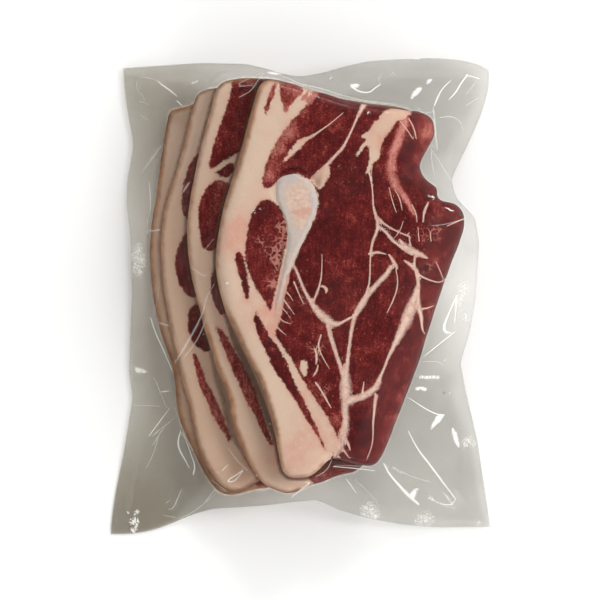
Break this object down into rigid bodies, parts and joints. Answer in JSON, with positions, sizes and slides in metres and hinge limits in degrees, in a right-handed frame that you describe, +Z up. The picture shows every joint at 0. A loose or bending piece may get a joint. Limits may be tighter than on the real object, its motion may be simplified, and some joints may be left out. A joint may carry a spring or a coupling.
{
  "type": "vacuum pack of pork shoulder chops",
  "caption": "Clear vacuum pouch lying flat, with a fanned stack of pork shoulder chops that show rind, fat seams and blade cartilage.",
  "frame": {"origin": "on the surface that the pack lies on, under the middle of the pouch", "axes": "+Z up, +Y along the pouch's length towards its top seam, +X to the right as seen from above"},
  "size_m": [0.2, 0.2501, 0.0608],
  "materials": {
    "film": "clear, glossy polyamide and polyethylene film",
    "meat": "raw pork, moist, with cream fat seams and brown rind",
    "cartilage": "smooth, moist, bluish white"
  },
  "bodies": {
    "root": {"vacuum_pouch": "film", "chop_1": "meat", "chop_2": "meat", "chop_3": "meat", "chop_4": "meat", "blade_cartilage": "cartilage"}
  },
  "joints": []
}
